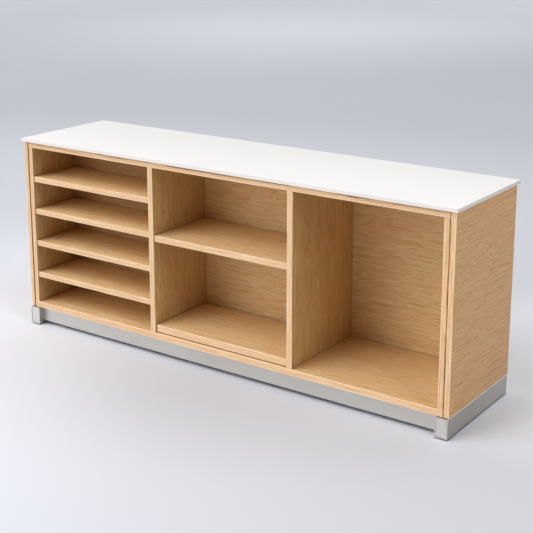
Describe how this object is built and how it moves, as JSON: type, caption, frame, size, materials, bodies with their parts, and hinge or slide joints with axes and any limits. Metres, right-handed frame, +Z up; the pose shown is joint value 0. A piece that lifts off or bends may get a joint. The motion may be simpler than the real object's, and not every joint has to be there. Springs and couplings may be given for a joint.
{
  "type": "credenza",
  "caption": "Low open oak credenza with a white slab top, a paper sorter bay, a shelved bay with a pull-out board, an open bay and a silver plinth on screw feet.",
  "frame": {"origin": "on the floor under the middle of the slab", "axes": "+X along the width to the right, +Y from the open front to the rear panel, +Z up"},
  "size_m": [1.847, 0.46, 0.749],
  "materials": {
    "oak_veneer": "clear matt lacquer on light oak veneer",
    "white_slab": "satin white solid surface",
    "plinth_metal": "silver satin",
    "bright_steel": "plated",
    "dark_rubber": "matt black"
  },
  "bodies": {
    "case": {"case_bottom": "oak_veneer", "case_top": "oak_veneer", "left_base_rail": "plinth_metal", "left_base_spacer": "dark_rubber", "left_bay_back": "oak_veneer", "left_carcass_side": "oak_veneer", "left_end_panel": "oak_veneer", "left_partition": "oak_veneer", "left_rail_cap_front": "plinth_metal", "left_rail_cap_rear": "plinth_metal", "left_reveal_spacer": "dark_rubber", "left_runner_bar": "bright_steel", "middle_bay_back": "oak_veneer", "middle_shelf": "oak_veneer", "middle_shelf_pin_front_left": "bright_steel", "middle_shelf_pin_front_right": "bright_steel", "middle_shelf_pin_rear_left": "bright_steel", "middle_shelf_pin_rear_right": "bright_steel", "rear_cross_rail": "plinth_metal", "rear_panel": "oak_veneer", "right_base_rail": "plinth_metal", "right_base_spacer": "dark_rubber", "right_bay_back": "oak_veneer", "right_carcass_side": "oak_veneer", "right_end_panel": "oak_veneer", "right_partition": "oak_veneer", "right_rail_cap_front": "plinth_metal", "right_rail_cap_rear": "plinth_metal", "right_reveal_spacer": "dark_rubber", "right_runner_bar": "bright_steel", "sorter_shelf_1": "oak_veneer", "sorter_shelf_1_pin_front_left": "bright_steel", "sorter_shelf_1_pin_front_right": "bright_steel", "sorter_shelf_1_pin_rear_left": "bright_steel", "sorter_shelf_1_pin_rear_right": "bright_steel", "sorter_shelf_2": "oak_veneer", "sorter_shelf_2_pin_front_left": "bright_steel", "sorter_shelf_2_pin_front_right": "bright_steel", "sorter_shelf_2_pin_rear_left": "bright_steel", "sorter_shelf_2_pin_rear_right": "bright_steel", "sorter_shelf_3": "oak_veneer", "sorter_shelf_3_pin_front_left": "bright_steel", "sorter_shelf_3_pin_front_right": "bright_steel", "sorter_shelf_3_pin_rear_left": "bright_steel", "sorter_shelf_3_pin_rear_right": "bright_steel", "sorter_shelf_4": "oak_veneer", "sorter_shelf_4_pin_front_left": "bright_steel", "sorter_shelf_4_pin_front_right": "bright_steel", "sorter_shelf_4_pin_rear_left": "bright_steel", "sorter_shelf_4_pin_rear_right": "bright_steel", "toe_kick_plate": "plinth_metal", "top_slab": "white_slab"},
    "pull_out": {"pull_out_shelf": "oak_veneer", "left_stop_peg": "bright_steel", "right_stop_peg": "bright_steel"},
    "left_foot_front_screw": {"left_foot_front": "dark_rubber"},
    "left_foot_rear_screw": {"left_foot_rear": "dark_rubber"},
    "right_foot_front_screw": {"right_foot_front": "dark_rubber"},
    "right_foot_rear_screw": {"right_foot_rear": "dark_rubber"}
  },
  "joints": [
    {"name": "pull_out_slide", "type": "slide", "parent": "case", "child": "pull_out", "axis": [0, -1, 0], "range_m": [0, 0.1595]},
    {"name": "left_foot_front_travel", "type": "slide", "parent": "case", "child": "left_foot_front_screw", "axis": [0, 0, -1], "range_m": [0, 0.012]},
    {"name": "left_foot_rear_travel", "type": "slide", "parent": "case", "child": "left_foot_rear_screw", "axis": [0, 0, -1], "range_m": [0, 0.012]},
    {"name": "right_foot_front_travel", "type": "slide", "parent": "case", "child": "right_foot_front_screw", "axis": [0, 0, -1], "range_m": [0, 0.012]},
    {"name": "right_foot_rear_travel", "type": "slide", "parent": "case", "child": "right_foot_rear_screw", "axis": [0, 0, -1], "range_m": [0, 0.012]}
  ]
}
